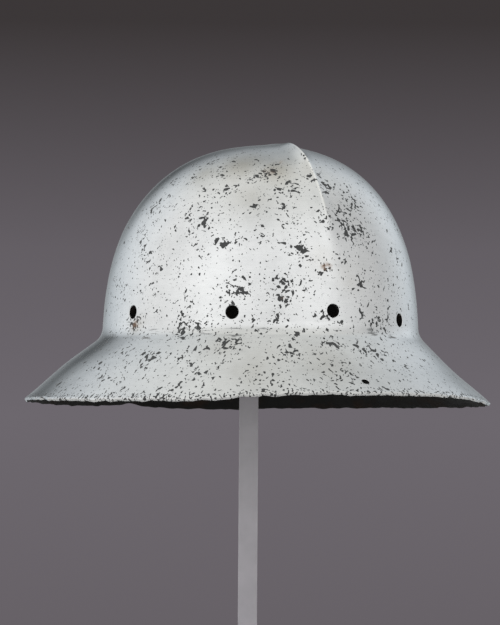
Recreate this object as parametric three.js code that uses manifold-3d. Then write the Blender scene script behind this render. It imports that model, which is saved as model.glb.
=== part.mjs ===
// A siege helmet, forged from one plate, on a plain post stand.
// Millimetres, +Z up, the wearer's face towards -Y, their left towards +X.
// The origin is the centre of the stand's foot, on the surface it stands on.
import * as THREE from "three";
import { ParametricGeometry } from "three/addons/geometries/ParametricGeometry.js";
import { mergeVertices } from "three/addons/utils/BufferGeometryUtils.js";
import Module from "manifold-3d";

const wasm = await Module();
wasm.setup();

// Skull: an oval dome whose top leans a little towards the face and whose foot flares
const skullHalfLength = 111.5;
const skullHalfWidth = 101;
const skullHeight = 119.5;
const skullRoundness = 2.3;
const crownLean = 5.5;
const footFlare = 1.5;
const flareTop = 0.5;

// Keel: the low ridge over the crown from back to front, highest at the brow of the crown.
// It dies out down the wall, between these shares of the skull's height.
const keelHalfWidth = 22;
const keelFadeFoot = 0.1;
const keelFadeTop = 0.45;
const keelLine = [
  { ahead: -95, height: 0.8 },
  { ahead: -50, height: 1.2 },
  { ahead: 0, height: 1.2 },
  { ahead: 30, height: 1.6 },
  { ahead: 58, height: 4.8 },
  { ahead: 80, height: 3.0 },
  { ahead: 100, height: 2.0 },
];

// Brim: a hollow bend, then a straight slope out to the edge
const brimReach = 50;
const brimSlope = THREE.MathUtils.degToRad(41);
const bendRadius = 13;

// Plate thickness
const skullPlate = 3.2;
const edgePlate = 2.3;

// The hammered brim around the helmet: how far its edge is lifted, how much further out it reaches,
// and how far the middle of its slope sags. Bearings in degrees, 0 at the face, + to the wearer's left.
const brimForm = [
  { bearing: -170, lift: 2.2, extra: 1.5, sag: -0.8 },
  { bearing: -145, lift: -0.6, extra: 2.2, sag: -1.5 },
  { bearing: -112, lift: 0.2, extra: 2.6, sag: -1.8 },
  { bearing: -78, lift: -1.8, extra: 1.8, sag: -1.2 },
  { bearing: -46, lift: -3.0, extra: 1.0, sag: -0.4 },
  { bearing: -28, lift: -0.5, extra: 0.4, sag: 0.2 },
  { bearing: -6, lift: 1.2, extra: 0.0, sag: 0.6 },
  { bearing: 20, lift: 1.6, extra: -0.5, sag: 1.2 },
  { bearing: 42, lift: -0.6, extra: -0.9, sag: 1.8 },
  { bearing: 62, lift: -1.5, extra: -1.0, sag: 2.2 },
  { bearing: 96, lift: -1.1, extra: -0.6, sag: 1.4 },
  { bearing: 124, lift: -0.2, extra: 0.0, sag: 0.6 },
  { bearing: 148, lift: -0.3, extra: 0.5, sag: 0.0 },
  { bearing: 168, lift: -1.2, extra: 1.0, sag: -0.4 },
];

// Lining holes around the foot of the skull, heights above the brim's edge
const liningHoleRadius = 4.3;
const liningHoles = [
  { bearing: 0, height: 54.1 },
  { bearing: 33, height: 50.4 },
  { bearing: 74, height: 52.4 },
  { bearing: 110, height: 53.2 },
  { bearing: 146, height: 52.8 },
  { bearing: 180, height: 53.6 },
  { bearing: -146, height: 53.2 },
  { bearing: -113, height: 53.8 },
  { bearing: -78, height: 54.6 },
  { bearing: -36, height: 52.6 },
];
const holeSides = 20;

// The small hole near the front of the brim
const brimHoleRadius = 2.5;
const brimHoleBearing = 1.3;
const brimHoleReach = 40.7;

// Stand
const postWidth = 12.7;
const postTurn = THREE.MathUtils.degToRad(-24);
const postBehindSkull = 17;
const edgeAboveFloor = 185;
const footRadius = 85;
const footThickness = 12;
const footChamfer = 3;
const headRadius = 30;
const headFoot = 324;
const seatGap = 0.3;

// Facets
const columns = 72;
const domeRows = 15;
const bendRows = 4;
const slopeRows = 4;
const footSides = 64;
const headSides = 48;
const faceRows = domeRows + bendRows + slopeRows;

// Worked out from the above
const bendTurn = Math.PI / 2 - brimSlope;
const bendReach = footFlare + bendRadius * (1 - Math.cos(bendTurn));
const bendDrop = bendRadius * Math.sin(bendTurn);
const brimDrop = bendDrop + (brimReach - bendReach) * Math.tan(brimSlope);

// A value eased between two rows of a table, in the order of a column
function eased(table, column, place, wanted) {
  const after = table.findIndex((row) => row[column] > place);
  if (after === 0) return table[0][wanted];
  if (after < 0) return table.at(-1)[wanted];
  const [low, high] = [table[after - 1], table[after]];
  const share = THREE.MathUtils.smoothstep(place, low[column], high[column]);
  return THREE.MathUtils.lerp(low[wanted], high[wanted], share);
}

// The brim's own form at a bearing; the table's first row comes again after its last
function brimAt(bearing, wanted) {
  const start = brimForm[0].bearing;
  const wholeTurn = [...brimForm, { ...brimForm[0], bearing: start + 360 }];
  const place = start + THREE.MathUtils.euclideanModulo(bearing - start, 360);
  return eased(wholeTurn, "bearing", place, wanted);
}

// The outer face along one meridian, by row: 0 is the crown, faceRows the brim's edge.
// spread is the share of the base oval, reach how far out from it, height above the edge.
function meridian(row) {
  if (row <= domeRows) {
    const angle = (row / domeRows) * (Math.PI / 2);
    const power = 2 / skullRoundness;
    const rise = Math.abs(Math.cos(angle)) ** power;
    const reach = footFlare * Math.max(0, 1 - rise / flareTop) ** 2;
    return { spread: Math.sin(angle) ** power, reach, height: brimDrop + skullHeight * rise };
  }
  if (row <= domeRows + bendRows) {
    const angle = ((row - domeRows) / bendRows) * bendTurn;
    const reach = footFlare + bendRadius * (1 - Math.cos(angle));
    return { spread: 1, reach, height: brimDrop - bendRadius * Math.sin(angle) };
  }
  const share = (row - domeRows - bendRows) / slopeRows;
  const height = (brimDrop - bendDrop) * (1 - share);
  return { spread: 1, reach: THREE.MathUtils.lerp(bendReach, brimReach, share), height };
}

// The plain outer face, before the keel is raised on it
function plainFace(bearing, row) {
  const { spread, reach, height } = meridian(row);
  const side = Math.sin(THREE.MathUtils.degToRad(bearing));
  const ahead = Math.cos(THREE.MathUtils.degToRad(bearing));
  const outward = new THREE.Vector2(side / skullHalfWidth, -ahead / skullHalfLength).normalize();
  const rise = Math.max(0, (height - brimDrop) / skullHeight);
  const brimShare = reach / brimReach;
  const out = reach + brimAt(bearing, "extra") * brimShare ** 2;
  const sag = brimAt(bearing, "sag") * Math.sin(Math.PI * brimShare) ** 2;
  return new THREE.Vector3(
    skullHalfWidth * side * spread + outward.x * out,
    -skullHalfLength * ahead * spread + outward.y * out - crownLean * rise ** 2,
    height + brimAt(bearing, "lift") * brimShare ** 2 - sag,
  );
}

// The plain face's outward direction
function faceNormal(bearing, row) {
  const step = 0.01;
  const safeRow = THREE.MathUtils.clamp(row, step, faceRows - step);
  const round = plainFace(bearing + step, safeRow).sub(plainFace(bearing - step, safeRow));
  const down = plainFace(bearing, safeRow + step).sub(plainFace(bearing, safeRow - step));
  return row === 0 ? new THREE.Vector3(0, 0, 1) : down.cross(round).normalize();
}

// A point of the plate, at a depth under its outer face
function platePoint(bearing, row, depth) {
  const point = plainFace(bearing, row);
  const rise = (point.z - brimDrop) / skullHeight;
  const ridge = Math.max(0, 1 - Math.abs(point.x) / keelHalfWidth) ** 2;
  const fade = THREE.MathUtils.smoothstep(rise, keelFadeFoot, keelFadeTop);
  const keel = eased(keelLine, "ahead", -point.y, "height") * ridge * fade;
  return point.addScaledVector(faceNormal(bearing, row), keel - depth);
}

function plateThickness(row) {
  const share = Math.max(0, (row - domeRows) / (faceRows - domeRows));
  return THREE.MathUtils.lerp(skullPlate, edgePlate, share);
}

// A closed surface around the helmet's axis, from one point on the axis to another
function turnedForm(rows, pointAt) {
  const place = (u, v, target) => target.copy(pointAt(-360 * u, v * rows));
  return new ParametricGeometry(place, columns, rows);
}

// A closed geometry as a solid, with shared corners merged and empty triangles dropped
function solidOf(geometry) {
  const bare = geometry.clone();
  bare.deleteAttribute("normal");
  bare.deleteAttribute("uv");
  const merged = mergeVertices(bare);
  const corners = merged.index.array;
  const triVerts = [];
  for (let i = 0; i < corners.length; i += 3) {
    const [a, b, c] = corners.subarray(i, i + 3);
    if (a !== b && b !== c && c !== a) triVerts.push(a, b, c);
  }
  const mesh = new wasm.Mesh({
    numProp: 3,
    vertProperties: merged.attributes.position.array,
    triVerts: Uint32Array.from(triVerts),
  });
  return new wasm.Manifold(mesh);
}

function geometryOf(solid) {
  const mesh = solid.getMesh();
  const geometry = new THREE.BufferGeometry();
  geometry.setAttribute("position", new THREE.BufferAttribute(mesh.vertProperties, 3));
  geometry.setIndex(new THREE.BufferAttribute(mesh.triVerts, 1));
  geometry.computeVertexNormals();
  return geometry;
}

function part(name, geometry, material) {
  const mesh = new THREE.Mesh(geometry, new THREE.MeshStandardMaterial(material));
  mesh.name = name;
  return mesh;
}

// A round punch through the plate, along the plate's own normal
function punch(bearing, row, radius) {
  const through = 6 * skullPlate;
  const tool = new THREE.CylinderGeometry(radius, radius, through, holeSides);
  const turn = new THREE.Quaternion();
  turn.setFromUnitVectors(new THREE.Vector3(0, 1, 0), faceNormal(bearing, row));
  tool.applyQuaternion(turn);
  const place = platePoint(bearing, row, skullPlate / 2);
  tool.translate(place.x, place.y, place.z);
  return solidOf(tool);
}

// The dome's row at a height, by halving; the wall only falls from row to row
function rowAtHeight(height) {
  const fineEnough = 1e-6;
  let high = 0;
  let low = domeRows + bendRows;
  while (low - high > fineEnough) {
    const middle = (high + low) / 2;
    if (meridian(middle).height > height) high = middle;
    else low = middle;
  }
  return low;
}

// The shell: down the outer face, round the edge and back up the inner face
function helmetGeometry() {
  const rows = 2 * faceRows + 1;
  const shell = turnedForm(rows, (bearing, row) => {
    if (row < faceRows + 0.5) return platePoint(bearing, row, 0);
    const innerRow = rows - row;
    return platePoint(bearing, innerRow, plateThickness(innerRow));
  });
  const slopeShare = (brimHoleReach - bendReach) / (brimReach - bendReach);
  const brimHoleRow = domeRows + bendRows + slopeShare * slopeRows;
  const punches = liningHoles.map(({ bearing, height }) => {
    return punch(bearing, rowAtHeight(height), liningHoleRadius);
  });
  punches.push(punch(brimHoleBearing, brimHoleRow, brimHoleRadius));
  let solid = solidOf(shell);
  for (const hole of punches) solid = solid.subtract(hole);
  return geometryOf(solid).translate(0, -postBehindSkull, edgeAboveFloor);
}

// The head of the stand: a round block whose top follows the inside of the crown
function headGeometry() {
  const rows = domeRows + 1;
  const hollow = turnedForm(rows, (bearing, row) => {
    if (row > domeRows) return new THREE.Vector3(0, 0, brimDrop);
    return platePoint(bearing, row, skullPlate + seatGap);
  });
  hollow.translate(0, -postBehindSkull, edgeAboveFloor);
  const blockHeight = edgeAboveFloor + brimDrop + skullHeight - headFoot;
  const block = new THREE.CylinderGeometry(headRadius, headRadius, blockHeight, headSides);
  block.rotateX(Math.PI / 2);
  block.translate(0, 0, headFoot + blockHeight / 2);
  return geometryOf(solidOf(block).intersect(solidOf(hollow)));
}

function footGeometry() {
  const outline = [
    new THREE.Vector2(0, 0),
    new THREE.Vector2(footRadius, 0),
    new THREE.Vector2(footRadius, footThickness - footChamfer),
    new THREE.Vector2(footRadius - footChamfer, footThickness),
    new THREE.Vector2(0, footThickness),
  ];
  return new THREE.LatheGeometry(outline, footSides).rotateX(Math.PI / 2);
}

const steel = { color: 0xd2d5d5, roughness: 0.32, metalness: 1 };
const greyPaint = { color: 0xa5a2a8, roughness: 0.5, metalness: 0 };
const felt = { color: 0x4a4a4c, roughness: 0.95, metalness: 0 };

const postHeight = headFoot - footThickness;
const post = part("stand_post", new THREE.BoxGeometry(postWidth, postWidth, postHeight), greyPaint);
post.position.z = footThickness + postHeight / 2;
post.rotation.z = postTurn;

const helmetOnStand = new THREE.Group();
helmetOnStand.add(
  part("helmet_shell", helmetGeometry(), steel),
  post,
  part("stand_head", headGeometry(), felt),
  part("stand_base", footGeometry(), greyPaint),
);

export default helmetOnStand;
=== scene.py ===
import math

import bmesh
import bpy
import numpy as np
from mathutils import Matrix, Vector
from mathutils.bvhtree import BVHTree


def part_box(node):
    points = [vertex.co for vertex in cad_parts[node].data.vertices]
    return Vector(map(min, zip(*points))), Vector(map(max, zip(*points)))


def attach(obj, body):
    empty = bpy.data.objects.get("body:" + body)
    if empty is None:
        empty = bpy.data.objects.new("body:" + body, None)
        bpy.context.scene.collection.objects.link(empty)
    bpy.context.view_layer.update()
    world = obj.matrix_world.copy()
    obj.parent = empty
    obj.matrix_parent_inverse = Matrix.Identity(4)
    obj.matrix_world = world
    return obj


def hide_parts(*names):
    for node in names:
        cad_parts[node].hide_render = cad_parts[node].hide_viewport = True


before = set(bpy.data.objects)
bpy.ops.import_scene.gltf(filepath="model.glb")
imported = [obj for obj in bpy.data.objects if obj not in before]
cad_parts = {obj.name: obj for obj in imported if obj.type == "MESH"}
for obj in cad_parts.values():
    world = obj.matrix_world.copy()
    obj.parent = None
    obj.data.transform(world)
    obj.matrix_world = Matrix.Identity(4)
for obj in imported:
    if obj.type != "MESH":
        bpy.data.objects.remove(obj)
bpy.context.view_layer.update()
print("frame:", ", ".join(sorted(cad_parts)))


# The view: a long lens a little under the brim, square to the post's front face
photo = {
    "width": 500,                       # pixels
    "height": 625,
    "focalPixels": 3000,
    "sensor": 36,                       # mm, along the picture's height
    "azimuth": math.radians(-24),
    "distance": 2.0,                    # m, from the post's axis
    "eyeHeight": 0.1353,
    "aimHeight": 0.244,
    "aimRight": 0.0004,
    "roll": 0.0065,
}


def makeCamera():
    away = Vector((math.sin(photo["azimuth"]), -math.cos(photo["azimuth"]), 0))
    right = Vector((-away.y, away.x, 0))
    eye = away * photo["distance"] + Vector((0, 0, photo["eyeHeight"]))
    aim = right * photo["aimRight"] + Vector((0, 0, photo["aimHeight"]))
    turn = (aim - eye).to_track_quat("-Z", "Y").to_matrix() @ Matrix.Rotation(photo["roll"], 3, "Z")
    data = bpy.data.cameras.new("photoView")
    data.sensor_width = photo["sensor"]
    data.lens = photo["sensor"] * photo["focalPixels"] / photo["height"]
    camera = bpy.data.objects.new("photoView", data)
    camera.matrix_world = Matrix.Translation(eye) @ turn.to_4x4()
    bpy.context.scene.collection.objects.link(camera)
    bpy.context.scene.camera = camera
    return eye, turn


eye, eyeTurn = makeCamera()


def photoRay(column, row):
    across = (column - photo["width"] / 2) / photo["focalPixels"]
    up = (photo["height"] / 2 - row) / photo["focalPixels"]
    return (eyeTurn @ Vector((across, up, -1))).normalized()


# Node trees written as plain arithmetic: a Field is a number that varies over a surface
def feed(tree, value, socket):
    if isinstance(value, Field):
        tree.links.new(value.socket, socket)
    elif isinstance(value, bpy.types.NodeSocket):
        tree.links.new(value, socket)
    else:
        socket.default_value = value


def addNode(tree, kind, values=None, **settings):
    node = tree.nodes.new(kind)
    for name, value in settings.items():
        setattr(node, name, value)
    for name, value in (values or {}).items():
        feed(tree, value, node.inputs[name])
    return node


def math2(tree, operation, *values):
    node = addNode(tree, "ShaderNodeMath", dict(enumerate(values)), operation=operation)
    return Field(tree, node.outputs[0])


class Field:
    def __init__(self, tree, socket):
        self.tree = tree
        self.socket = socket

    def __add__(self, other):
        return math2(self.tree, "ADD", self, other)

    def __sub__(self, other):
        return math2(self.tree, "SUBTRACT", self, other)

    def __rsub__(self, other):
        return math2(self.tree, "SUBTRACT", other, self)

    def __mul__(self, other):
        return math2(self.tree, "MULTIPLY", self, other)

    def __truediv__(self, other):
        return math2(self.tree, "DIVIDE", self, other)

    def __rtruediv__(self, other):
        return math2(self.tree, "DIVIDE", other, self)

    def __pow__(self, other):
        return math2(self.tree, "POWER", self, other)

    def __neg__(self):
        return self * -1

    __radd__ = __add__
    __rmul__ = __mul__

    def sine(self):
        return math2(self.tree, "SINE", self)

    def cosine(self):
        return math2(self.tree, "COSINE", self)

    def part(self):
        return math2(self.tree, "FRACT", self)

    def size(self):
        return math2(self.tree, "ABSOLUTE", self)

    def atLeast(self, low):
        return math2(self.tree, "MAXIMUM", self, low)

    def atMost(self, high):
        return math2(self.tree, "MINIMUM", self, high)

    def above(self, other):
        return math2(self.tree, "GREATER_THAN", self, other)

    def ramp(self, low, high, start=0.0, end=1.0, how="LINEAR"):
        values = {"Value": self, "From Min": low, "From Max": high, "To Min": start, "To Max": end}
        node = addNode(self.tree, "ShaderNodeMapRange", values, interpolation_type=how)
        return Field(self.tree, node.outputs[0])

    def ease(self, low, high):
        return self.ramp(low, high, how="SMOOTHSTEP")


def vectorOf(tree, x, y, z):
    return addNode(tree, "ShaderNodeCombineXYZ", {0: x, 1: y, 2: z}).outputs[0]


def partsOf(tree, vector):
    split = addNode(tree, "ShaderNodeSeparateXYZ", {0: vector})
    return [Field(tree, socket) for socket in split.outputs]


def scaled(tree, vector, factor):
    return addNode(tree, "ShaderNodeVectorMath", {0: vector, "Scale": factor}, operation="SCALE").outputs[0]


def summed(tree, one, other):
    return addNode(tree, "ShaderNodeVectorMath", {0: one, 1: other}, operation="ADD").outputs[0]


def noise(tree, vector, scale, detail=2.0, roughness=0.5):
    values = {"Vector": vector, "Scale": scale, "Detail": detail, "Roughness": roughness}
    return addNode(tree, "ShaderNodeTexNoise", values)


def noiseField(tree, vector, scale, detail=2.0, roughness=0.5):
    return Field(tree, noise(tree, vector, scale, detail, roughness).outputs[0])


# A table's column as a smooth line: place is 0 at the first row and 1 at the last
def tableLine(tree, rows, column, place):
    values = [row[column] for row in rows]
    low = min(values)
    span = max(values) - low
    start = rows[0][0]
    whole = rows[-1][0] - start
    node = addNode(tree, "ShaderNodeFloatCurve", {"Value": place})
    curve = node.mapping.curves[0]
    for index, row in enumerate(rows):
        where = ((row[0] - start) / whole, (row[column] - low) / span)
        if index in (0, len(rows) - 1):
            curve.points[0 if index == 0 else -1].location = where
        else:
            curve.points.new(*where)
    for point in curve.points:
        point.handle_type = "AUTO_CLAMPED"
    node.mapping.update()
    return Field(tree, node.outputs[0]) * span + low


# Runs a tree on an object and leaves the result as its plain mesh
def runTree(piece, tree, inputs):
    modifier = piece.modifiers.new(tree.name, "NODES")
    modifier.node_group = tree
    for item in tree.interface.items_tree:
        if item.in_out == "INPUT" and item.name in inputs:
            modifier[item.identifier] = inputs[item.name]
    shaped = piece.evaluated_get(bpy.context.evaluated_depsgraph_get())
    mesh = bpy.data.meshes.new_from_object(shaped)
    piece.modifiers.clear()
    piece.data = mesh


def newPiece(name, mesh=None):
    piece = bpy.data.objects.new(name, mesh or bpy.data.meshes.new(name))
    bpy.context.scene.collection.objects.link(piece)
    return piece


def shadeSmooth(mesh, sharpFrom):
    mesh.polygons.foreach_set("use_smooth", np.ones(len(mesh.polygons), bool))
    mesh.set_sharp_from_angle(angle=sharpFrom)


def closeTree(tree, geometry, material):
    real = addNode(tree, "GeometryNodeRealizeInstances", {"Geometry": geometry})
    dressed = addNode(tree, "GeometryNodeSetMaterial", {"Geometry": real.outputs[0], "Material": material})
    addNode(tree, "NodeGroupOutput", {0: dressed.outputs[0]})


# Helmet: the rule and the sizes of the solid, in metres and radians
helmetSizes = {
    "halfLength": 0.1115,
    "halfWidth": 0.101,
    "skullHeight": 0.1195,
    "roundness": 2.3,
    "crownLean": 0.0055,
    "footFlare": 0.0015,
    "flareTop": 0.5,
    "keelHalfWidth": 0.022,
    "crestHalfWidth": 0.008,            # the keel's own sharp crest
    "crestShare": 0.42,
    "crestBlunt": 0.010,                # how far the crest is rounded off where it runs out
    "crestKeen": 0.0003,                # and where it is sharp
    "bluntFoot": 0.35,                  # between these shares of the skull's height
    "bluntTop": 0.65,
    "keelFadeFoot": 0.1,
    "keelFadeTop": 0.45,
    "brimReach": 0.05,
    "brimSlope": math.radians(41),
    "bendRadius": 0.013,
    "skullPlate": 0.0032,
    "edgePlate": 0.0023,
    "behindPost": -0.017,               # the skull's centre stands this far ahead of the post
    "edgeHeight": 0.185,
    "hammerDepth": 0.0003,              # slow waves left by the hammer
    "hammerSpan": 0.045,
    "planishDepth": 0.00005,            # the finer marks of planishing
    "planishSpan": 0.013,
    "nickDepth": 0.0030,                # small nicks along the brim's edge
    "nickSpan": 0.008,
}
helmetMesh = {
    "columns": 360,
    "rows": 118,
    "domeShare": 0.58,                  # share of the rows
    "bendShare": 0.1,
    "nickFade": 14,                     # nicks stay this close to the edge
    "bevel": 0.0006,
    "sharpFrom": math.radians(30),
}
keelRows = [                            # ahead of the skull's centre, height, in mm
    (-95, 0.8), (-50, 1.2), (0, 1.2), (30, 1.6), (58, 4.8), (80, 3.0), (100, 2.0),
]
brimRows = [                            # bearing in degrees, lift, extra reach, sag in mm
    (-170, 2.2, 1.5, -0.8), (-145, -0.6, 2.2, -1.5), (-112, 0.2, 2.6, -1.8), (-78, -1.8, 1.8, -1.2),
    (-46, -3.0, 1.0, -0.4), (-28, -0.5, 0.4, 0.2), (-6, 1.2, 0.0, 0.6), (20, 1.6, -0.5, 1.2),
    (42, -0.6, -0.9, 1.8), (62, -1.5, -1.0, 2.2), (96, -1.1, -0.6, 1.4), (124, -0.2, 0.0, 0.6),
    (148, -0.3, 0.5, 0.0), (168, -1.2, 1.0, -0.4), (190, 2.2, 1.5, -0.8),
]
mm = 0.001


def storeNamed(tree, geometry, name, value, kind="FLOAT", domain="POINT"):
    values = {"Geometry": geometry, "Name": name, "Value": value}
    return addNode(tree, "GeometryNodeStoreNamedAttribute", values, data_type=kind, domain=domain).outputs[0]


def named(tree, name, kind="FLOAT"):
    return addNode(tree, "GeometryNodeInputNamedAttribute", {"Name": name}, data_type=kind).outputs[0]


# The plate's outer face, from the crown down to the brim's edge
def outerFace(tree, size):
    grid = addNode(tree, "GeometryNodeMeshGrid", {
        "Size X": 1.0, "Size Y": 1.0,
        "Vertices X": helmetMesh["columns"] + 1, "Vertices Y": helmetMesh["rows"] + 1,
    })
    across, along, _ = partsOf(tree, addNode(tree, "GeometryNodeInputPosition").outputs[0])
    bearing = (across + 0.5) * (-2 * math.pi)
    down = along + 0.5
    side = bearing.sine()
    ahead = bearing.cosine()

    domeFoot = helmetMesh["domeShare"]
    bendFoot = domeFoot + helmetMesh["bendShare"]
    bendTurn = math.pi / 2 - size["brimSlope"]
    dome = down.ramp(0.0, domeFoot, 0.0, math.pi / 2)
    bend = down.ramp(domeFoot, bendFoot, 0.0, bendTurn)
    slope = down.ramp(bendFoot, 1.0)
    power = 2 / size["roundness"]
    rise = dome.cosine().atLeast(0.0) ** power
    spread = dome.sine() ** power
    flare = size["footFlare"] * (1 - rise / size["flareTop"]).atLeast(0.0) ** 2
    slopeReach = size["brimReach"] - size["footFlare"] - size["bendRadius"] * (1 - bendTurn.cosine())
    slopeDrop = slopeReach * size["brimSlope"].sine() / size["brimSlope"].cosine()
    brimDrop = slopeDrop + size["bendRadius"] * bendTurn.sine()
    reach = flare + size["bendRadius"] * (1 - bend.cosine()) + slopeReach * slope
    height = brimDrop + size["skullHeight"] * rise - size["bendRadius"] * bend.sine() - slopeDrop * slope

    turned = (bearing / (2 * math.pi) - brimRows[0][0] / 360).part()
    lift, extra, sag = [tableLine(tree, brimRows, column, turned) * mm for column in (1, 2, 3)]
    brimShare = reach / size["brimReach"]
    ring = vectorOf(tree, side * size["brimReach"] * 3, ahead * size["brimReach"] * 3, 0.0)
    uneven = noiseField(tree, ring, 1 / size["nickSpan"], 3.0) - 0.5
    nick = uneven * size["nickDepth"] * slope ** helmetMesh["nickFade"]
    out = reach + extra * brimShare ** 2 + nick
    outX = side / size["halfWidth"]
    outY = -ahead / size["halfLength"]
    outLength = (outX ** 2 + outY ** 2) ** 0.5
    x = size["halfWidth"] * side * spread + outX / outLength * out
    y = -size["halfLength"] * ahead * spread + outY / outLength * out - size["crownLean"] * rise ** 2
    z = height + lift * brimShare ** 2 - sag * (brimShare * math.pi).sine() ** 2 - nick

    kept = storeNamed(tree, grid.outputs[0], "thinning", bend / bendTurn * 0.5 + slope * 0.5)
    kept = storeNamed(tree, kept, "slope", slope)
    place = vectorOf(tree, x, y + size["behindPost"], z + size["edgeHeight"])
    face = addNode(tree, "GeometryNodeSetPosition", {"Geometry": kept, "Position": place})
    closed = addNode(tree, "GeometryNodeMergeByDistance", {0: face.outputs[0], "Distance": 1e-5})
    return closed.outputs[0], brimDrop


# The keel along the crown and the hammer's marks, raised along the face's own normal
def raised(tree, size, face, brimDrop):
    place = addNode(tree, "GeometryNodeInputPosition").outputs[0]
    x, y, z = partsOf(tree, place)
    rise = (z - size["edgeHeight"] - brimDrop) / size["skullHeight"]
    start = keelRows[0][0] * mm
    length = (keelRows[-1][0] - keelRows[0][0]) * mm
    line = tableLine(tree, keelRows, 1, (size["behindPost"] - y - start) / length) * mm
    blunt = rise.ramp(size["bluntFoot"], size["bluntTop"], size["crestBlunt"], size["crestKeen"])
    aside = (x ** 2 + blunt ** 2) ** 0.5 - blunt
    broad = (1 - aside / size["keelHalfWidth"]).atLeast(0.0) ** 2
    crest = (1 - aside / size["crestHalfWidth"]).atLeast(0.0) ** 2
    ridge = broad + (crest - broad) * size["crestShare"]
    keel = line * ridge * rise.ease(size["keelFadeFoot"], size["keelFadeTop"])
    hammer = (noiseField(tree, place, 1 / size["hammerSpan"], 1.0) - 0.5) * size["hammerDepth"] * 2
    planish = (noiseField(tree, place, 1 / size["planishSpan"], 0.0) - 0.5) * size["planishDepth"] * 2
    normal = addNode(tree, "GeometryNodeInputNormal").outputs[0]
    offset = scaled(tree, normal, keel + hammer + planish)
    return addNode(tree, "GeometryNodeSetPosition", {"Geometry": face, "Offset": offset}).outputs[0]


# The plate's thickness: the face, a face under it and the edge between
def plate(tree, size, face):
    place = addNode(tree, "GeometryNodeInputPosition").outputs[0]
    kept = storeNamed(tree, face, "outerPlace", place, "FLOAT_VECTOR")
    thinning = Field(tree, named(tree, "thinning"))
    depth = size["skullPlate"] + (size["edgePlate"] - size["skullPlate"]) * thinning
    normal = addNode(tree, "GeometryNodeInputNormal").outputs[0]
    inwards = scaled(tree, normal, -depth)
    inner = addNode(tree, "GeometryNodeSetPosition", {"Geometry": kept, "Offset": inwards})
    pulled = addNode(tree, "GeometryNodeExtrudeMesh", {
        "Mesh": inner.outputs[0], "Offset Scale": 1e-4, "Individual": False,
    }, mode="FACES")
    outer = addNode(tree, "GeometryNodeSetPosition", {
        "Geometry": pulled.outputs["Mesh"], "Selection": pulled.outputs["Top"],
        "Position": named(tree, "outerPlace", "FLOAT_VECTOR"),
    })
    walled = storeNamed(tree, outer.outputs[0], "rim", pulled.outputs["Side"], "BOOLEAN", "FACE")
    turned = addNode(tree, "GeometryNodeFlipFaces", {0: inner.outputs[0]})
    lined = storeNamed(tree, turned.outputs[0], "inside", True, "BOOLEAN", "FACE")
    both = addNode(tree, "GeometryNodeJoinGeometry", {0: walled})
    tree.links.new(lined, both.inputs[0])
    return addNode(tree, "GeometryNodeMergeByDistance", {0: both.outputs[0], "Distance": 1e-6}).outputs[0]


def helmetTree(material):
    tree = bpy.data.node_groups.new("helmetForm", "GeometryNodeTree")
    tree.interface.new_socket("Mesh", in_out="OUTPUT", socket_type="NodeSocketGeometry")
    for name in helmetSizes:
        tree.interface.new_socket(name, in_out="INPUT", socket_type="NodeSocketFloat")
    given = addNode(tree, "NodeGroupInput")
    size = {name: Field(tree, given.outputs[name]) for name in helmetSizes}
    face, brimDrop = outerFace(tree, size)
    closeTree(tree, plate(tree, size, raised(tree, size, face, brimDrop)), material)
    return tree


# Rounds both corners of the brim's edge
def roundRim(mesh):
    form = bmesh.new()
    form.from_mesh(mesh)
    rim = form.faces.layers.bool.get("rim")
    corners = [edge for edge in form.edges if len({bool(face[rim]) for face in edge.link_faces}) == 2]
    bmesh.ops.bevel(form, geom=corners, offset=helmetMesh["bevel"], segments=2, profile=0.5, affect="EDGES")
    form.to_mesh(mesh)
    form.free()


# Holes: punched round, a little worn at the lip; bearings in degrees, heights above the edge in mm
holes = {
    "liningRadius": 0.0043,
    "brimRadius": 0.0025,
    "brimBearing": 1.3,
    "brimReach": 40.7,
    "lip": 0.07,                        # share of the radius
    "sides": 40,
    "punchDepth": 3.0,                  # in radii
    "wallReach": 1.03,                  # a face this near the axis, in radii, is a wall
    "wallTilt": 0.4,
}
liningRows = [                          # bearing, height
    (0, 54.1), (33, 50.4), (74, 52.4), (110, 53.2), (146, 52.8),
    (180, 53.6), (-146, 53.2), (-113, 53.8), (-78, 54.6), (-36, 52.6),
]


def outwardAt(bearing):
    turn = math.radians(bearing)
    away = Vector((math.sin(turn) / helmetSizes["halfWidth"], -math.cos(turn) / helmetSizes["halfLength"], 0))
    return away.normalized()


def footOval(bearing):
    turn = math.radians(bearing)
    aside = helmetSizes["halfWidth"] * math.sin(turn)
    ahead = helmetSizes["halfLength"] * math.cos(turn)
    return Vector((aside, helmetSizes["behindPost"] - ahead, 0))


# Where each punch goes: on the outer face, along its normal
def holeMarks(shell):
    marks = []
    for bearing, height in liningRows:
        start = footOval(bearing) + outwardAt(bearing) * 0.2
        start.z = helmetSizes["edgeHeight"] + height * mm
        place, normal, _, _ = shell.ray_cast(start, -outwardAt(bearing))
        marks.append((place, normal, holes["liningRadius"]))
    start = footOval(holes["brimBearing"]) + outwardAt(holes["brimBearing"]) * holes["brimReach"] * mm
    start.z = 1.0
    place, normal, _, _ = shell.ray_cast(start, Vector((0, 0, -1)))
    marks.append((place, normal, holes["brimRadius"]))
    mesh = bpy.data.meshes.new("holeMarks")
    mesh.from_pydata([place for place, _, _ in marks], [], [])
    mesh.attributes.new("through", "FLOAT_VECTOR", "POINT")
    mesh.attributes.new("holeRadius", "FLOAT", "POINT")
    for index, (_, normal, radius) in enumerate(marks):
        mesh.attributes["through"].data[index].vector = normal
        mesh.attributes["holeRadius"].data[index].value = radius
    return marks, newPiece("holeMarks", mesh)


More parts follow.
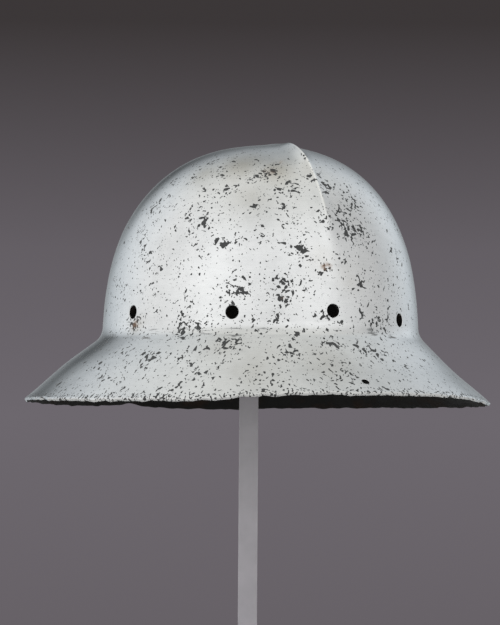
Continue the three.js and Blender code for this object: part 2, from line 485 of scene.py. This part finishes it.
# A punch on every mark, taken out of the plate; above the lip each punch opens outwards
def punchTree(material):
    tree = bpy.data.node_groups.new("punchedHoles", "GeometryNodeTree")
    tree.interface.new_socket("Mesh", in_out="OUTPUT", socket_type="NodeSocketGeometry")
    tree.interface.new_socket("plate", in_out="INPUT", socket_type="NodeSocketGeometry")
    tree.interface.new_socket("marks", in_out="INPUT", socket_type="NodeSocketObject")
    tree.interface.new_socket("lip", in_out="INPUT", socket_type="NodeSocketFloat")
    given = addNode(tree, "NodeGroupInput")
    lip = Field(tree, given.outputs["lip"])
    marks = addNode(tree, "GeometryNodeObjectInfo", {"Object": given.outputs["marks"]})
    punch = addNode(tree, "GeometryNodeMeshCylinder", {
        "Vertices": holes["sides"], "Side Segments": 2, "Radius": 1.0, "Depth": holes["punchDepth"],
    })
    x, y, z = partsOf(tree, addNode(tree, "GeometryNodeInputPosition").outputs[0])
    middle = 1 - z.size().above(0.1)                    # the ring of points halfway up
    wide = 1 + (z + lip).atLeast(0.0) * z.above(0.1)
    place = vectorOf(tree, x * wide, y * wide, z - middle * lip)
    shaped = addNode(tree, "GeometryNodeSetPosition", {"Geometry": punch.outputs["Mesh"], "Position": place})
    turn = addNode(tree, "FunctionNodeAlignRotationToVector", {
        "Vector": named(tree, "through", "FLOAT_VECTOR"),
    }, axis="Z")
    size = named(tree, "holeRadius")
    punches = addNode(tree, "GeometryNodeInstanceOnPoints", {
        "Points": marks.outputs["Geometry"], "Instance": shaped.outputs[0],
        "Rotation": turn.outputs[0], "Scale": size,
    })
    tools = addNode(tree, "GeometryNodeRealizeInstances", {"Geometry": punches.outputs[0]})
    cut = addNode(tree, "GeometryNodeMeshBoolean", None, operation="DIFFERENCE", solver="MANIFOLD")
    tree.links.new(given.outputs["plate"], cut.inputs["Mesh 1"])
    tree.links.new(tools.outputs[0], cut.inputs["Mesh 2"])
    closeTree(tree, cut.outputs["Mesh"], material)
    return tree


def treeOf(mesh):
    form = bmesh.new()
    form.from_mesh(mesh)
    shell = BVHTree.FromBMesh(form)
    form.free()
    return shell


# Wear as the photograph shows it: column, row and spread in its pixels, then strength
pitRows = [
    (204, 222, 6, 1.1), (224, 244, 4, 1.4), (217, 241, 3, 1.2), (233, 244, 3, 0.8), (226, 190, 4, 0.9),
    (235, 188, 3, 1.2), (206, 201, 5, 0.7), (188, 216, 5, 0.7), (188, 233, 4, 0.7), (256, 206, 5, 0.8),
    (142, 232, 5, 0.6), (142, 240, 5, 0.6), (203, 190, 3, 0.8), (194, 178, 4, 0.6), (232, 160, 4, 0.7),
    (212, 162, 5, 0.6), (219, 176, 6, 0.4), (160, 209, 7, 0.45), (150, 209, 6, 0.45), (161, 201, 4, 0.5),
    (144, 248, 4, 0.6), (161, 268, 5, 0.4), (180, 268, 4, 0.5), (152, 285, 6, 0.45), (243, 277, 4, 0.8),
    (175, 181, 6, 0.35), (247, 180, 6, 0.5), (259, 176, 6, 0.8), (240, 237, 5, 0.4), (198, 250, 10, 0.25),
    (301, 249, 6, 1.25), (266, 175, 5, 0.9), (273, 171, 7, 0.9), (277, 165, 4, 0.7), (330, 188, 4, 1.3),
    (320, 176, 5, 0.7), (304, 157, 4, 0.7), (309, 175, 4, 0.8), (314, 180, 4, 0.8), (288, 183, 4, 0.7),
    (296, 190, 5, 0.7), (283, 207, 5, 0.6), (294, 221, 6, 0.6), (262, 232, 4, 0.6), (323, 216, 6, 0.8),
    (331, 228, 5, 0.7), (350, 201, 8, 0.6), (359, 212, 3, 0.9), (338, 211, 5, 0.6), (345, 226, 8, 0.85),
    (360, 230, 8, 0.85), (345, 240, 7, 0.5), (325, 268, 4, 0.9), (331, 268, 4, 0.8), (397, 229, 3, 1.3),
    (392, 251, 3, 0.7), (391, 285, 6, 0.5), (364, 280, 6, 0.5), (345, 194, 6, 0.5), (379, 205, 7, 0.35),
    (231, 293, 7, 0.9), (242, 292, 7, 0.9), (183, 316, 7, 0.6), (198, 328, 4, 1.4), (183, 338, 4, 1.3),
    (280, 297, 3, 1.3), (286, 302, 3, 1.3), (281, 297, 6, 0.8), (288, 302, 5, 0.8), (276, 319, 6, 0.8),
    (287, 320, 5, 0.6), (325, 317, 4, 0.9), (341, 322, 3, 1.3), (362, 316, 5, 0.7), (376, 315, 7, 0.6),
    (386, 319, 7, 0.7), (389, 310, 4, 0.6), (132, 326, 6, 0.7), (140, 325, 6, 0.7), (118, 299, 5, 0.4),
    (157, 311, 5, 0.4), (188, 298, 5, 0.5), (228, 341, 6, 0.9), (237, 341, 6, 0.9), (208, 348, 7, 0.7),
    (185, 356, 5, 0.8), (122, 353, 7, 0.6), (150, 354, 8, 0.6), (145, 366, 4, 0.7), (197, 366, 4, 0.7),
    (226, 361, 6, 0.5), (256, 331, 3, 1.3), (298, 334, 4, 1.3), (325, 331, 4, 0.6), (330, 344, 6, 0.9),
    (279, 352, 4, 0.7), (298, 351, 6, 0.6), (282, 359, 4, 0.7), (358, 346, 8, 0.6), (370, 348, 8, 0.6),
    (380, 352, 7, 0.6), (407, 367, 3, 0.8), (164, 394, 8, 0.6), (112, 392, 7, 0.5), (378, 384, 6, 0.5),
    (290, 382, 8, 0.35), (100, 364, 6, 0.4),
]
scatterRows = [                         # wide areas with pits lying loosely
    (155, 206, 14, 0.4), (150, 255, 10, 0.3), (190, 230, 12, 0.3), (222, 168, 14, 0.35),
    (265, 174, 14, 0.45), (290, 190, 12, 0.4), (288, 220, 12, 0.4), (262, 236, 9, 0.3),
    (326, 186, 12, 0.6), (352, 204, 13, 0.6), (350, 228, 18, 0.65), (366, 238, 13, 0.6),
    (345, 262, 10, 0.45), (362, 280, 10, 0.5), (396, 256, 10, 0.45), (284, 288, 14, 0.6),
    (310, 292, 12, 0.25), (240, 290, 14, 0.45), (212, 312, 12, 0.25), (183, 326, 13, 0.6),
    (134, 325, 12, 0.6), (117, 288, 12, 0.3), (290, 353, 16, 0.55), (332, 343, 12, 0.6),
    (380, 324, 15, 0.6), (370, 350, 15, 0.55), (222, 346, 18, 0.55), (150, 359, 14, 0.5),
    (108, 340, 16, 0.3), (200, 372, 22, 0.3), (340, 372, 30, 0.25), (270, 380, 24, 0.3),
    (110, 378, 24, 0.3), (405, 375, 18, 0.3), (60, 388, 14, 0.3),
]
creaseShadeRows = [                          # painted shade: fine dark lines in the crease where the skull meets the brim
    (150, 336, 12, 0.9), (166, 336, 9, 0.8), (205, 334, 10, 0.7), (232, 334, 12, 1.0), (262, 329, 10, 0.6),
    (372, 333, 9, 0.8), (393, 338, 9, 0.8),
]
tarnishRows = [
    (240, 165, 26, 0.9), (275, 172, 20, 1.0), (205, 174, 22, 0.8), (250, 194, 20, 0.45), (310, 170, 14, 0.4),
    (350, 276, 16, 0.4), (322, 258, 16, 0.3), (260, 368, 40, 0.38), (225, 348, 24, 0.3), (330, 365, 36, 0.38),
    (137, 326, 10, 0.7),
]
rustRows = [
    (327, 268, 7, 1.0), (270, 172, 9, 0.5), (281, 162, 6, 0.5), (136, 326, 9, 0.6), (283, 297, 4, 0.4),
    (389, 312, 5, 0.4),
]
wear = {
    "edgeBand": 0.0035,                 # pitted band along the brim's edge
    "stray": 0.16,                      # pits that lie singly, all over
    "brimStray": 0.012,                 # and more of them on the brim
    "halo": (2.2, 0.5),                 # loose pits around a patch: wider, weaker
    "most": 2.0,                        # past 1 a patch is solid
    "strayPatches": 150,                # patches on the sides that the photograph doesn't show
    "strayLean": (0.0, 1.2),
    "straySpread": (0.0015, 0.0045),
    "strayStrength": (0.35, 0.95),
    "strayHeight": (0, 0.09),
    "hiddenFrom": 0.1,
    "seed": 11,
}


def addValues(mesh, name, values):
    attribute = mesh.attributes.new(name, "FLOAT", "POINT")
    attribute.data.foreach_set("value", np.clip(values, 0, wear["most"]).astype(np.float32))


# The patches of a chart, cast from the camera onto the plate
def castPatches(shell, rows):
    cast = []
    for column, row, spread, strength in rows:
        place, _, _, far = shell.ray_cast(eye, photoRay(column, row))
        if place:
            cast.append((np.array(place), spread * far / photo["focalPixels"], strength))
    return cast


def spreadOver(points, patches):
    total = np.zeros(len(points))
    for place, spread, strength in patches:
        near = np.linalg.norm(points - place, axis=1) / spread
        total = np.maximum(total, strength * np.exp(-near ** 2))
    return total


# Patches like the charted ones, on the far side
def strayPatches(shell):
    chance = np.random.default_rng(wear["seed"])
    view = eye.to_2d().normalized()
    patches = []
    while len(patches) < wear["strayPatches"]:
        turn = chance.uniform(0, 2 * math.pi)
        away = Vector((math.sin(turn), -math.cos(turn), 0))
        lean = chance.uniform(*wear["strayLean"])
        spread = chance.uniform(*wear["straySpread"])
        strength = chance.uniform(*wear["strayStrength"])
        height = helmetSizes["edgeHeight"] + chance.uniform(*wear["strayHeight"])
        aim = Vector((0, helmetSizes["behindPost"], height))
        start = aim + (away + Vector((0, 0, lean))).normalized()
        place, normal, _, _ = shell.ray_cast(start, aim - start)
        if place and normal.to_2d().dot(view) < wear["hiddenFrom"]:
            patches.append((np.array(place), spread, strength))
    return patches


def markWear(mesh, shell):
    points = np.zeros(len(mesh.vertices) * 3)
    mesh.vertices.foreach_get("co", points)
    points = points.reshape(-1, 3)
    slope = np.zeros(len(points))
    mesh.attributes["slope"].data.foreach_get("value", slope)
    toEdge = (1 - slope) * (helmetSizes["brimReach"] / math.cos(helmetSizes["brimSlope"]))
    edge = np.exp(-(toEdge / wear["edgeBand"] - 0.5) ** 2)      # thickest half a band in
    patches = castPatches(shell, pitRows) + strayPatches(shell)
    wider, weaker = wear["halo"]
    halos = [(place, spread * wider, min(strength, 1.0) * weaker) for place, spread, strength in patches]
    pits = spreadOver(points, patches + halos + castPatches(shell, scatterRows))
    stray = wear["stray"] + wear["brimStray"] * np.clip(slope * 4, 0, 1)
    addValues(mesh, "pitting", pits + stray)
    addValues(mesh, "edgePitting", edge)
    for name, rows in (("creaseShade", creaseShadeRows), ("tarnish", tarnishRows), ("rust", rustRows)):
        addValues(mesh, name, spreadOver(points, castPatches(shell, rows)))


# Materials
def newMaterial(name):
    material = bpy.data.materials.new(name)
    material.use_nodes = True
    tree = material.node_tree
    shader = tree.nodes["Principled BSDF"]
    place = addNode(tree, "ShaderNodeTexCoord").outputs["Object"]
    return material, tree, shader, place


def attributeField(tree, name):
    return Field(tree, addNode(tree, "ShaderNodeAttribute", None, attribute_name=name).outputs["Fac"])


def mixColour(tree, share, one, other):
    values = {"Factor": share, 6: one, 7: other}        # by number: the node has an A and a B for each kind
    return addNode(tree, "ShaderNodeMix", values, data_type="RGBA").outputs[2]


def bump(tree, height, strength, distance, below=None):
    values = {"Height": height, "Strength": strength, "Distance": distance}
    if below:
        values["Normal"] = below
    return addNode(tree, "ShaderNodeBump", values).outputs[0]


steel = {
    "bright": (0.74, 0.75, 0.76, 1.0),
    "dull": (0.60, 0.61, 0.62, 1.0),
    "tarnished": (0.50, 0.48, 0.44, 1.0),
    "rusted": (0.24, 0.14, 0.085, 1.0),
    # painted highlight along the crest
    "crestHighlight": (0.93, 0.93, 0.92, 1.0),
    "pitted": (0.02, 0.021, 0.022, 1.0),
    "edgeTint": (0.72, 0.73, 0.74, 1.0),
    "pitGloss": 0.2,
    "roughness": 0.075,
    "pitSpan": 0.0023,                  # m
    "pitCut": (0.762, 0.28),            # where the noise is cut, and how much lower wear sets it
    "blotSpan": 0.0038,
    "blotCut": (0.785, 0.25),
    "speckSpan": 0.0012,
    "speckCut": (0.81, 0.15),
    "edgeSpecks": 0.19,
    "solidFrom": 1.1,                   # from this wear on, pits run together
    "cutSoftness": (0.004, 0.02),
    "bendSpan": 0.007,                  # draws the pits out, this way and that
    "bendDepth": 0.0045,
    "foot": 0.114,                      # from here outwards and down, pits are drawn out down the brim
    "footRise": 0.226,
    "brimDraw": 0.72,
    "clumpSpan": 0.012,
    "cloudSpan": 0.03,
    "mottleSpan": 0.007,
    "crestHighlightWidth": 0.0013,
    "crestHighlightRise": (0.285, 0.315),        # a painted highlight along the crest, from here up
    "lineSpan": 0.0009,                 # polishing lines
}


# Pits: ragged islands of noise, cut lower where the wear is deep
def pitIslands(tree, place, kind, detail, density, deeper):
    cut, lowered = steel[kind + "Cut"]
    level = cut - density * lowered - deeper
    first, last = steel["cutSoftness"]
    return noiseField(tree, place, 1 / steel[kind + "Span"], detail, 0.5).ease(level + first, level + last)


def steelMaterial():
    material, tree, shader, place = newMaterial("burnishedSteel")
    names = ("pitting", "edgePitting", "tarnish", "rust", "creaseShade")
    pitting, edgePitting, tarnish, rust, creaseShade = [attributeField(tree, name) for name in names]
    clump = noiseField(tree, place, 1 / steel["clumpSpan"], 3.0, 0.6)
    density = pitting + clump.ramp(0.5, 0.78, 0.0, 0.25)
    bent = noise(tree, place, 1 / steel["bendSpan"], 1.0).outputs["Color"]
    across, along, up = partsOf(tree, place)
    centre = helmetSizes["behindPost"]
    away = (across ** 2 + (along - centre) ** 2) ** 0.5
    share = (away.atMost(steel["foot"]) + (away - steel["foot"]).atLeast(0.0) * steel["brimDraw"]) / away
    lower = up.atLeast(steel["footRise"]) + (up - steel["footRise"]).atMost(0.0) * steel["brimDraw"]
    onBrim = vectorOf(tree, across * share, (along - centre) * share + centre, lower)
    drawn = summed(tree, onBrim, scaled(tree, bent, steel["bendDepth"]))
    core = (density - steel["solidFrom"]).atLeast(0.0) * 0.5
    large = pitIslands(tree, drawn, "pit", 1.0, density, core)
    broad = pitIslands(tree, summed(tree, drawn, (0.1, 0.2, 0.3)), "blot", 1.0, density, core)
    specks = edgePitting * steel["edgeSpecks"]
    fine = pitIslands(tree, summed(tree, drawn, (0.3, 0.1, 0.2)), "speck", 0.0, density, specks)
    stretched = vectorOf(tree, across * 60.0, along * 60.0, up / steel["lineSpan"])
    lines = noiseField(tree, stretched, 1.0, 2.0)
    # painted shade: fine dark lines along the crease where the skull meets the brim
    paintedCreaseShade = (creaseShade * lines.ramp(0.5, 0.62)).ease(0.3, 0.7) * 0.75
    pits = large.atLeast(broad).atLeast(fine).atLeast(paintedCreaseShade)

    cloud = noiseField(tree, place, 1 / steel["cloudSpan"], 4.0, 0.55)
    mottle = noiseField(tree, place, 1 / steel["mottleSpan"], 5.0, 0.7)
    dulled = cloud.ramp(0.42, 0.75) * 0.4 + lines.ramp(0.4, 0.7) * 0.2 + mottle.ramp(0.45, 0.75) * 0.45
    # a painted highlight along the crest's ridge line, brighter than the steel beside it
    crest = (1 - across.size() / steel["crestHighlightWidth"]).atLeast(0.0) * up.ramp(*steel["crestHighlightRise"])
    stain = (tarnish * cloud.ramp(0.25, 0.6, 0.4, 1.0)).atMost(1.0)
    rusty = (rust * clump.ramp(0.3, 0.6)).ease(0.15, 0.7)
    colour = mixColour(tree, dulled, steel["bright"], steel["dull"])
    colour = mixColour(tree, stain, colour, steel["tarnished"])
    colour = mixColour(tree, crest, colour, steel["crestHighlight"])
    colour = mixColour(tree, rusty, colour, steel["rusted"])
    pitted = mixColour(tree, rusty, steel["pitted"], steel["rusted"])
    colour = mixColour(tree, pits * 0.95, colour, pitted)
    feed(tree, colour, shader.inputs["Base Color"])
    feed(tree, 1 - pits * 0.95 - rusty * 0.6 * (1 - pits), shader.inputs["Metallic"])
    shader.inputs["Specular IOR Level"].default_value = steel["pitGloss"]
    shader.inputs["Specular Tint"].default_value = steel["edgeTint"]
    smooth = steel["roughness"] + cloud.ramp(0.3, 0.7) * 0.05 + lines.ramp(0.4, 0.7) * 0.03
    feed(tree, smooth + (pits + rusty * 0.5 + stain * 0.08).atMost(1.0) * 0.4, shader.inputs["Roughness"])
    marks = bump(tree, lines, 0.03, 0.0002)
    feed(tree, bump(tree, 1 - pits, 0.6, 0.0003, marks), shader.inputs["Normal"])
    return material


# Inside: blackened steel, its colour darkened further as painted shade
inside = {
    "dark": (0.0035, 0.0034, 0.0033, 1.0),
    "rusty": (0.016, 0.009, 0.006, 1.0),
    "roughness": 0.75,
    "gloss": 0.15,
}


def insideMaterial():
    material, tree, shader, place = newMaterial("blackenedAndShadedInside")
    blotch = noiseField(tree, place, 55.0, 5.0, 0.6)
    grain = noiseField(tree, place, 900.0, 2.0)
    colour = mixColour(tree, blotch.ramp(0.5, 0.72), inside["dark"], inside["rusty"])
    feed(tree, colour, shader.inputs["Base Color"])
    feed(tree, inside["roughness"] + blotch.ramp(0.4, 0.7) * 0.2, shader.inputs["Roughness"])
    shader.inputs["Specular IOR Level"].default_value = inside["gloss"]
    feed(tree, bump(tree, grain + blotch, 0.3, 0.0004), shader.inputs["Normal"])
    return material


paint = {"light": (0.47, 0.45, 0.485, 1.0), "dark": (0.40, 0.385, 0.415, 1.0), "roughness": 0.42}


def paintMaterial():
    material, tree, shader, place = newMaterial("greyPaint")
    cloud = noiseField(tree, place, 40.0, 4.0, 0.6)
    peel = noiseField(tree, place, 700.0, 2.0)
    colour = mixColour(tree, cloud.ramp(0.35, 0.7), paint["light"], paint["dark"])
    feed(tree, colour, shader.inputs["Base Color"])
    feed(tree, paint["roughness"] + cloud.ramp(0.3, 0.7) * 0.12, shader.inputs["Roughness"])
    feed(tree, bump(tree, peel, 0.12, 0.0002), shader.inputs["Normal"])
    return material


felt = {
    "light": (0.11, 0.108, 0.112, 1.0),
    "dark": (0.055, 0.054, 0.057, 1.0),
    "roughness": 0.95,
    "sheen": 0.3,
}


def feltMaterial():
    material, tree, shader, place = newMaterial("greyFelt")
    fibres = noiseField(tree, place, 1400.0, 4.0, 0.7)
    nap = noiseField(tree, place, 120.0, 3.0)
    colour = mixColour(tree, fibres.ramp(0.35, 0.65), felt["dark"], felt["light"])
    feed(tree, colour, shader.inputs["Base Color"])
    shader.inputs["Roughness"].default_value = felt["roughness"]
    shader.inputs["Sheen Weight"].default_value = felt["sheen"]
    feed(tree, bump(tree, fibres + nap * 0.5, 0.5, 0.0006), shader.inputs["Normal"])
    return material


# The faces down a hole's sides, apart from its lip; the near-black inside finish on them is painted shade
def shadedHoleWalls(mesh, marks):
    centres = np.zeros(len(mesh.polygons) * 3)
    mesh.polygons.foreach_get("center", centres)
    centres = centres.reshape(-1, 3)
    facing = np.zeros(len(mesh.polygons) * 3)
    mesh.polygons.foreach_get("normal", facing)
    facing = facing.reshape(-1, 3)
    shadedWalls = np.zeros(len(mesh.polygons), bool)
    for place, normal, radius in marks:
        through = np.array(normal)
        offset = centres - np.array(place)
        depth = offset @ through
        aside = np.linalg.norm(offset - np.outer(depth, through), axis=1)
        near = (aside < radius * holes["wallReach"]) & (np.abs(depth) < 2 * helmetSizes["skullPlate"])
        shadedWalls |= near & (np.abs(facing @ through) < holes["wallTilt"])
    return shadedWalls


# Helmet, in one piece
def makeHelmet():
    outside = steelMaterial()
    helmet = newPiece("helmet")
    runTree(helmet, helmetTree(outside), helmetSizes)
    print("helmet: plate of", len(helmet.data.polygons), "faces")
    roundRim(helmet.data)
    marks, markPoints = holeMarks(treeOf(helmet.data))
    runTree(helmet, punchTree(outside), {"marks": markPoints, "lip": holes["lip"]})
    bpy.data.objects.remove(markPoints)
    mesh = helmet.data
    markWear(mesh, treeOf(mesh))
    mesh.materials.clear()
    mesh.materials.append(outside)
    mesh.materials.append(insideMaterial())
    hidden = np.zeros(len(mesh.polygons), bool)
    mesh.attributes["inside"].data.foreach_get("value", hidden)
    # the hole sides share the near-black inside finish: painted shade that darkens the holes
    mesh.polygons.foreach_set("material_index", (hidden | shadedHoleWalls(mesh, marks)).astype(np.int32))
    shadeSmooth(mesh, helmetMesh["sharpFrom"])
    for name in ("inside", "rim", "outerPlace", "thinning", "slope", "through", "holeRadius"):
        mesh.attributes.remove(mesh.attributes[name])
    print("helmet: punched,", len(mesh.polygons), "faces")
    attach(helmet, "root")
    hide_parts("helmet_shell")
    return helmet


# Stand
stand = {
    "postWidth": 0.0127,
    "postTurn": math.radians(-24),
    "postBevel": 0.0005,
    "footChamfer": 0.003,
    "footCorner": 0.0006,               # the corner that the foot stands on
    "headRound": 0.0025,
    "seatGap": 0.0003,
    "sides": 96,
    "sharpFrom": math.radians(35),
}


# A form turned about the post's axis: rings of (radius, height or a height rule), closed at both ends
def turnedPiece(name, rings):
    form = bmesh.new()
    turns = [2 * math.pi * index / stand["sides"] for index in range(stand["sides"])]
    rows = []
    for radius, height in rings:
        row = []
        for turn in turns:
            x = radius * math.cos(turn)
            y = radius * math.sin(turn)
            row.append(form.verts.new((x, y, height(x, y) if callable(height) else height)))
        rows.append(row)
    for low, high in zip(rows, rows[1:]):
        for index in range(stand["sides"]):
            after = (index + 1) % stand["sides"]
            form.faces.new((low[index], low[after], high[after], high[index]))
    for row, (_, height), up in ((rows[0], rings[0], False), (rows[-1], rings[-1], True)):
        middle = form.verts.new((0, 0, height(0, 0) if callable(height) else height))
        for index in range(stand["sides"]):
            after = (index + 1) % stand["sides"]
            corners = (row[index], row[after], middle)
            form.faces.new(corners if up else corners[::-1])
    mesh = bpy.data.meshes.new(name)
    form.to_mesh(mesh)
    form.free()
    shadeSmooth(mesh, stand["sharpFrom"])
    return newPiece(name, mesh)


def makePost(material):
    low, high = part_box("stand_post")
    form = bmesh.new()
    bmesh.ops.create_cube(form, size=1)
    width = stand["postWidth"]
    shape = Matrix.Rotation(stand["postTurn"], 4, "Z") @ Matrix.Diagonal((width, width, high.z - low.z, 1))
    form.transform(Matrix.Translation((0, 0, (low.z + high.z) / 2)) @ shape)
    edges = form.edges[:]
    bmesh.ops.bevel(form, geom=edges, offset=stand["postBevel"], segments=3, profile=0.5, affect="EDGES")
    mesh = bpy.data.meshes.new("post")
    form.to_mesh(mesh)
    form.free()
    shadeSmooth(mesh, stand["sharpFrom"])
    post = newPiece("post", mesh)
    post.data.materials.append(material)
    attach(post, "root")
    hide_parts("stand_post")


def makeFoot(material):
    low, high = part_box("stand_base")
    radius = (high.x - low.x) / 2
    chamfer = stand["footChamfer"]
    rings = [(radius * share, low.z) for share in (0.4, 0.8)]
    rings.append((radius - stand["footCorner"], low.z))
    rings.append((radius, low.z + stand["footCorner"]))
    for step in range(7):
        turn = math.pi / 2 * step / 6
        rings.append((radius - chamfer * (1 - math.cos(turn)), high.z - chamfer * (1 - math.sin(turn))))
    rings += [(radius * share, high.z) for share in (0.8, 0.4)]
    foot = turnedPiece("foot", rings)
    foot.data.materials.append(material)
    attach(foot, "root")
    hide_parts("stand_base")


# The block under the crown: its top follows the plate above it
def makeHead(helmet, material):
    low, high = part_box("stand_head")
    radius = (high.x - low.x) / 2
    crown = treeOf(helmet.data)

    def underCrown(x, y):
        place, _, _, _ = crown.ray_cast(Vector((x, y, low.z)), Vector((0, 0, 1)))
        return place.z - stand["seatGap"]

    soft = stand["headRound"]
    rings = [(radius * share, low.z) for share in (0.35, 0.7)]
    for step in range(5):
        turn = math.pi / 2 * step / 4
        rings.append((radius - soft * (1 - math.sin(turn)), low.z + soft * (1 - math.cos(turn))))
    for step in range(5):
        turn = math.pi / 2 * step / 4
        drop = soft * (1 - math.sin(turn))
        inward = soft * (1 - math.cos(turn))
        rings.append((radius - inward, lambda x, y, drop=drop: underCrown(x, y) - drop))
    rings += [(radius * share, underCrown) for share in (0.8, 0.65, 0.5, 0.35, 0.2, 0.08)]
    head = turnedPiece("headBlock", rings)
    head.data.materials.append(material)
    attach(head, "root")
    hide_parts("stand_head")


helmet = makeHelmet()
standPaint = paintMaterial()
makePost(standPaint)
makeFoot(standPaint)
makeHead(helmet, feltMaterial())
print("stand: post, foot and head block")


# Studio: a pale floor in a wide soft tent of light, brightest ahead and dim low down behind the helmet
studio = {
    "floorRadius": 0.6,
    "floorTone": (0.72, 0.71, 0.70, 1.0),
    "floorRoughness": 0.7,
    "tentFoot": 0.78,
    "tentTop": 0.92,
    "tentRise": (0.5, 0.97),            # the tent brightens between these
    "leftLean": 0.09,                   # how much brighter the tent is to the left than in front
    "panelTowards": (-52, 42),          # turn from the lens, rise
    "panelDistance": 2.0,
    "panelPower": 7,
    "panelSize": 1.6,
}
tentLights = [                          # turn from the lens and rise in degrees, tightness, strength
    (-42, 18, 4.0, 0.36),
    (36, 22, 6.0, 0.40),
    (-118, 18, 8.0, 0.16),
    (135, 22, 16.0, 0.13),
    (178, 14, 12.0, -0.50),
    (-163, 21, 50.0, -0.34),
    (150, 18, 20.0, 0.24),
    (-25, 62, 12.0, -0.15),
    (100, 45, 12.0, -0.10),
    (-152, 30, 20.0, -0.08),
    (180, 58, 18.0, -0.31),
]
backdropTones = [                       # rise, then colour
    (-0.05, (0.135, 0.121, 0.135, 1.0)),
    (0.02, (0.153, 0.138, 0.156, 1.0)),
    (0.075, (0.127, 0.114, 0.128, 1.0)),
    (0.15, (0.045, 0.039, 0.040, 1.0)),
]


def makeFloor():
    form = bmesh.new()
    bmesh.ops.create_circle(form, cap_ends=True, segments=128, radius=studio["floorRadius"])
    mesh = bpy.data.meshes.new("floor")
    form.to_mesh(mesh)
    form.free()
    floor = newPiece("floor", mesh)
    material, _, shader, _ = newMaterial("paleFloor")
    shader.inputs["Base Color"].default_value = studio["floorTone"]
    shader.inputs["Roughness"].default_value = studio["floorRoughness"]
    mesh.materials.append(material)


# A direction by its turn from the lens and its rise
def towards(turn, rise):
    angle = photo["azimuth"] + math.radians(turn)
    flat = math.cos(math.radians(rise))
    return Vector((math.sin(angle) * flat, -math.cos(angle) * flat, math.sin(math.radians(rise))))


def inDirection(parts, direction):
    x, y, z = parts
    return x * direction.x + y * direction.y + z * direction.z


def makeTent():
    world = bpy.data.worlds.new("lightTent")
    bpy.context.scene.world = world
    world.use_nodes = True
    tree = world.node_tree
    parts = partsOf(tree, addNode(tree, "ShaderNodeTexCoord").outputs["Generated"])
    rise = parts[2]
    left = inDirection(parts, towards(-90, 0))
    behind = inDirection(parts, towards(180, 0))
    tent = rise.ramp(*studio["tentRise"], studio["tentFoot"], studio["tentTop"]) + left * studio["leftLean"]
    for turn, lift, tightness, strength in tentLights:
        tent = tent + inDirection(parts, towards(turn, lift)).atLeast(0.0) ** tightness * strength
    cool = behind.ramp(0.1, 0.9)
    red = tent * (1 - cool * 0.06)
    blue = tent * (0.985 + cool * 0.05 - rise.ramp(0.6, 1.0) * 0.03)
    light = addNode(tree, "ShaderNodeCombineColor", {0: red, 1: tent, 2: blue}).outputs[0]

    lowest = backdropTones[0][0]
    span = backdropTones[-1][0] - lowest
    tones = addNode(tree, "ShaderNodeValToRGB", {0: rise.ramp(lowest, lowest + span)})
    stops = tones.color_ramp.elements
    for index, (height, colour) in enumerate(backdropTones):
        place = (height - lowest) / span
        ends = {0: 0, len(backdropTones) - 1: -1}
        stop = stops[ends[index]] if index in ends else stops.new(place)
        stop.position = place
        stop.color = colour
    seen = addNode(tree, "ShaderNodeLightPath").outputs["Is Camera Ray"]
    feed(tree, mixColour(tree, seen, light, tones.outputs[0]), tree.nodes["Background"].inputs["Color"])


# A soft panel that shapes the stand and the floor; the steel mirrors the tent alone
def makePanel():
    away = towards(*studio["panelTowards"])
    data = bpy.data.lights.new("leftPanel", "AREA")
    data.size = studio["panelSize"]
    data.energy = studio["panelPower"]
    lamp = bpy.data.objects.new("leftPanel", data)
    lamp.location = Vector((0, 0, helmetSizes["edgeHeight"])) + away * studio["panelDistance"]
    lamp.rotation_euler = (-away).to_track_quat("-Z", "Y").to_euler()
    lamp.visible_camera = False
    lamp.visible_glossy = False
    bpy.context.scene.collection.objects.link(lamp)


makeFloor()
makeTent()
makePanel()
bpy.context.scene.view_settings.view_transform = "Standard"
print("studio: floor, tent and panel")
